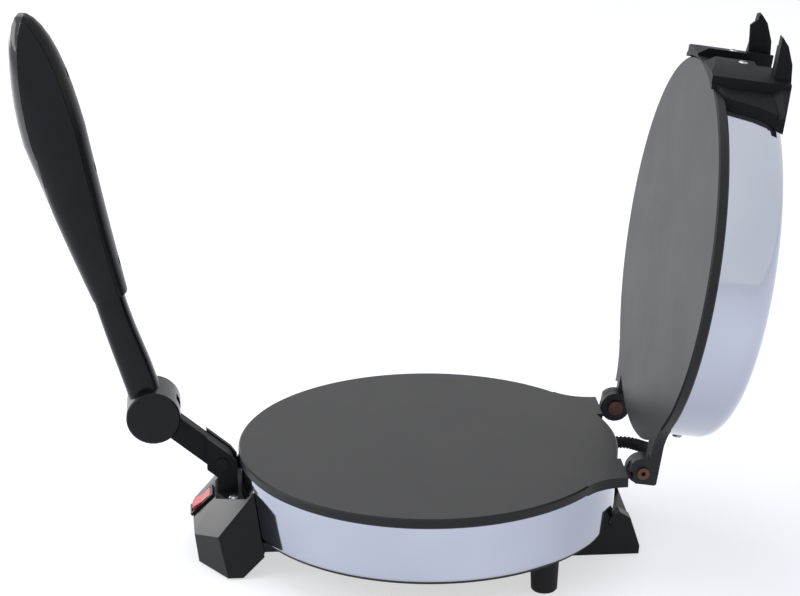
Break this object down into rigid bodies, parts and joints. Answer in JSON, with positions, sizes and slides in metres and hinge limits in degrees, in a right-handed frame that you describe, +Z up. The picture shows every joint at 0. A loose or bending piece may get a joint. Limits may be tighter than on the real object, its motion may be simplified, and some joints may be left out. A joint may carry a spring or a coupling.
{
  "type": "electric roti maker",
  "caption": "Round countertop flatbread cooker: dark cast hotplates in bright chromed casings, lid on a rear hinge, press lever with a tall moulded grip at the front, rocker switch and feet",
  "frame": {"origin": "Centre of the lower hotplate's cooking face", "axes": "+Z is up, out of the lower hotplate's cooking face; X is the lid hinge's axis; +Y runs from the lever and switch at the front to the hinge at the rear"},
  "size_m": [0.22, 0.4266, 0.3175],
  "materials": {
    "cast_plate": "cast aluminium with a dark grey non-stick coating, satin",
    "chrome": "chromed deep-drawn sheet, mirror bright",
    "black_moulding": "black heat-proof moulding, satin with a fine grain",
    "gloss_cap": "black moulding, high gloss",
    "black_cover": "black painted sheet",
    "steel": "zinc plated steel",
    "black_oxide": "blackened steel pin",
    "rivet": "copper plated rivet, slightly dull",
    "rubber": "black rubber, matt",
    "heater": "sheathed heating tube, heat-stained",
    "mica": "pale pressed insulation board",
    "shield": "plain aluminised sheet",
    "nylon": "natural nylon moulding",
    "switch_black": "black switch body, semi-gloss",
    "rocker_red": "red translucent rocker, glossy"
  },
  "bodies": {
    "base": {"lower_plate": "cast_plate", "base_shell": "chrome", "bottom_cover": "black_cover", "lower_element": "heater", "lower_insulation": "mica", "lower_heat_shield": "shield", "lower_shield_screw": "steel", "cover_screws": "steel", "thermostat": "steel", "thermal_fuse": "mica", "front_housing": "black_moulding", "housing_cover": "black_moulding", "housing_cover_screws": "steel", "housing_screws": "steel", "front_pads": "rubber", "terminal_block": "nylon", "cord_gland": "rubber", "switch_body": "switch_black", "lever_bracket": "black_moulding", "lever_bracket_screws": "steel", "lever_pivot_pin": "black_oxide", "rear_foot": "black_moulding", "rear_foot_screws": "steel", "side_feet": "rubber", "side_foot_screws": "steel", "hinge_pins": "rivet", "base_grommet": "rubber", "cable_conduit": "rubber"},
    "lid": {"upper_plate": "cast_plate", "lid_pan": "chrome", "upper_element": "heater", "upper_insulation": "mica", "upper_heat_shield": "shield", "upper_shield_screw": "steel", "lid_bracket": "black_moulding", "bracket_screws": "steel", "lid_pan_screws": "steel", "lid_grommet": "rubber"},
    "lever": {"lever_strap": "black_moulding"},
    "handle": {"handle_body": "black_moulding", "handle_cap": "gloss_cap", "handle_inner_shell": "black_moulding", "handle_screws": "steel", "boss_caps": "black_moulding", "boss_pin": "steel"},
    "rocker": {"switch_rocker": "rocker_red"}
  },
  "joints": [
    {"name": "lid_hinge", "type": "hinge", "parent": "base", "child": "lid", "pos_m": [0, 0.1168, -0.0004], "axis": [1, 0, 0], "range_deg": [0, 98.96]},
    {"name": "lever_swing", "type": "hinge", "parent": "base", "child": "lever", "pos_m": [0, -0.1198, -0.0068], "axis": [1, 0, 0], "range_deg": [-46.2, 0]},
    {"name": "handle_press", "type": "hinge", "parent": "lever", "child": "handle", "pos_m": [0, -0.15798, 0.02501], "axis": [1, 0, 0], "range_deg": [-35, 0]},
    {"name": "switch_rock", "type": "hinge", "parent": "base", "child": "rocker", "pos_m": [0, -0.12873, -0.03564], "axis": [1, 0, 0], "range_deg": [0, 14]}
  ]
}
